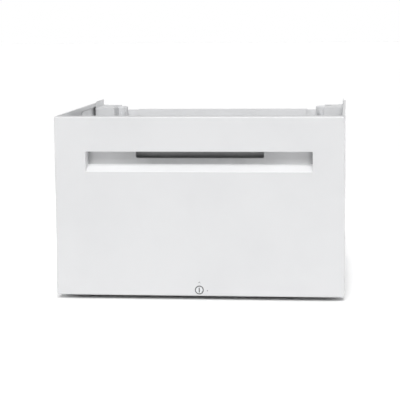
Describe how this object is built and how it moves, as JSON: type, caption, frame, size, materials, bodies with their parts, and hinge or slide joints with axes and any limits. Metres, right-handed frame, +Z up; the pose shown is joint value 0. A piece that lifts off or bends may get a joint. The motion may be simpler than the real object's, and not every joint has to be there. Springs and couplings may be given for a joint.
{
  "type": "washing machine pedestal drawer unit",
  "caption": "White sheet-steel plinth for a front-loading washing machine, with foot cups in its open top, levelling feet and a full-width locking drawer on ball runners.",
  "frame": {"origin": "on the floor under the middle of the pedestal's bounding box", "axes": "+Z up, -Y out of the drawer front, +X to the right seen from the front"},
  "size_m": [0.6, 0.5516, 0.387],
  "materials": {
    "panel_white": "satin white enamel",
    "front_white": "satin white enamel",
    "grip_white": "fine-grained white plastic",
    "cup_grey": "light grey moulded plastic",
    "frame_white": "light grey-white enamel",
    "drawer_grey": "satin light enamel",
    "runner_zinc": "bright zinc",
    "ball_steel": "polished steel",
    "lock_plastic": "satin light grey",
    "zinc_plate": "zinc plated",
    "zinc_screw": "zinc plated",
    "black_rubber": "matt black rubber"
  },
  "bodies": {
    "frame": {"base_rail_front": "frame_white", "base_rail_rear": "frame_white", "corner_bracket_front_left": "frame_white", "corner_bracket_front_right": "frame_white", "corner_bracket_rear_left": "frame_white", "corner_bracket_rear_right": "frame_white", "corner_post_front_left": "frame_white", "corner_post_front_right": "frame_white", "corner_post_rear_left": "frame_white", "corner_post_rear_right": "frame_white", "drawer_buffers": "black_rubber", "foot_cup_front_left": "cup_grey", "foot_cup_front_right": "cup_grey", "foot_cup_rear_left": "cup_grey", "foot_cup_rear_right": "cup_grey", "foot_cup_screws": "zinc_screw", "foot_inserts": "zinc_plate", "keeper_rivets": "zinc_screw", "lock_keeper": "zinc_plate", "rear_panel": "panel_white", "rear_panel_screws": "panel_white", "runner_outer_left": "runner_zinc", "runner_outer_right": "runner_zinc", "runner_screws": "zinc_screw", "side_brace_left": "frame_white", "side_brace_right": "frame_white", "side_panel_left": "panel_white", "side_panel_right": "panel_white", "top_rail_front": "frame_white"},
    "drawer": {"drawer_back": "drawer_grey", "drawer_floor": "drawer_grey", "drawer_front_liner": "drawer_grey", "drawer_front_screws": "zinc_screw", "drawer_front_skin": "front_white", "drawer_runner_screws": "zinc_screw", "drawer_side_left": "drawer_grey", "drawer_side_right": "drawer_grey", "grip_recess": "grip_white", "lock_housing": "lock_plastic", "lock_nut": "zinc_plate", "runner_inner_left": "runner_zinc", "runner_inner_right": "runner_zinc"},
    "lock_barrel": {"lock_rotor": "lock_plastic", "lock_cam": "zinc_plate", "cam_screw": "zinc_plate"},
    "runner_middle_left": {"runner_middle_left": "runner_zinc"},
    "ball_race_outer_left": {"ball_race_outer_left": "ball_steel"},
    "ball_race_inner_left": {"ball_race_inner_left": "ball_steel"},
    "runner_middle_right": {"runner_middle_right": "runner_zinc"},
    "ball_race_outer_right": {"ball_race_outer_right": "ball_steel"},
    "ball_race_inner_right": {"ball_race_inner_right": "ball_steel"},
    "foot_front_left": {"foot_pad_front_left": "black_rubber", "foot_stud_front_left": "zinc_plate"},
    "foot_front_right": {"foot_pad_front_right": "black_rubber", "foot_stud_front_right": "zinc_plate"},
    "foot_rear_left": {"foot_pad_rear_left": "black_rubber", "foot_stud_rear_left": "zinc_plate"},
    "foot_rear_right": {"foot_pad_rear_right": "black_rubber", "foot_stud_rear_right": "zinc_plate"}
  },
  "joints": [
    {"name": "drawer_slide", "type": "slide", "parent": "frame", "child": "drawer", "axis": [0, -1, 0], "range_m": [0, 0.4]},
    {"name": "runner_middle_slide_left", "type": "slide", "parent": "frame", "child": "runner_middle_left", "axis": [0, -1, 0], "range_m": [0, 0.2]},
    {"name": "ball_race_outer_slide_left", "type": "slide", "parent": "frame", "child": "ball_race_outer_left", "axis": [0, -1, 0], "range_m": [0, 0.1]},
    {"name": "ball_race_inner_slide_left", "type": "slide", "parent": "frame", "child": "ball_race_inner_left", "axis": [0, -1, 0], "range_m": [0, 0.3]},
    {"name": "runner_middle_slide_right", "type": "slide", "parent": "frame", "child": "runner_middle_right", "axis": [0, -1, 0], "range_m": [0, 0.2]},
    {"name": "ball_race_outer_slide_right", "type": "slide", "parent": "frame", "child": "ball_race_outer_right", "axis": [0, -1, 0], "range_m": [0, 0.1]},
    {"name": "ball_race_inner_slide_right", "type": "slide", "parent": "frame", "child": "ball_race_inner_right", "axis": [0, -1, 0], "range_m": [0, 0.3]},
    {"name": "lock_turn", "type": "hinge", "parent": "drawer", "child": "lock_barrel", "pos_m": [0, -0.275, 0.022], "axis": [0, -1, 0], "range_deg": [0, 90]},
    {"name": "foot_screw_front_left", "type": "slide", "parent": "frame", "child": "foot_front_left", "axis": [0, 0, -1], "range_m": [0, 0.012]},
    {"name": "foot_screw_front_right", "type": "slide", "parent": "frame", "child": "foot_front_right", "axis": [0, 0, -1], "range_m": [0, 0.012]},
    {"name": "foot_screw_rear_left", "type": "slide", "parent": "frame", "child": "foot_rear_left", "axis": [0, 0, -1], "range_m": [0, 0.012]},
    {"name": "foot_screw_rear_right", "type": "slide", "parent": "frame", "child": "foot_rear_right", "axis": [0, 0, -1], "range_m": [0, 0.012]}
  ],
  "couplings": [
    {"joint": "runner_middle_slide_left", "follows": "drawer_slide", "ratio": 0.5},
    {"joint": "ball_race_outer_slide_left", "follows": "drawer_slide", "ratio": 0.25},
    {"joint": "ball_race_inner_slide_left", "follows": "drawer_slide", "ratio": 0.75},
    {"joint": "runner_middle_slide_right", "follows": "drawer_slide", "ratio": 0.5},
    {"joint": "ball_race_outer_slide_right", "follows": "drawer_slide", "ratio": 0.25},
    {"joint": "ball_race_inner_slide_right", "follows": "drawer_slide", "ratio": 0.75}
  ]
}
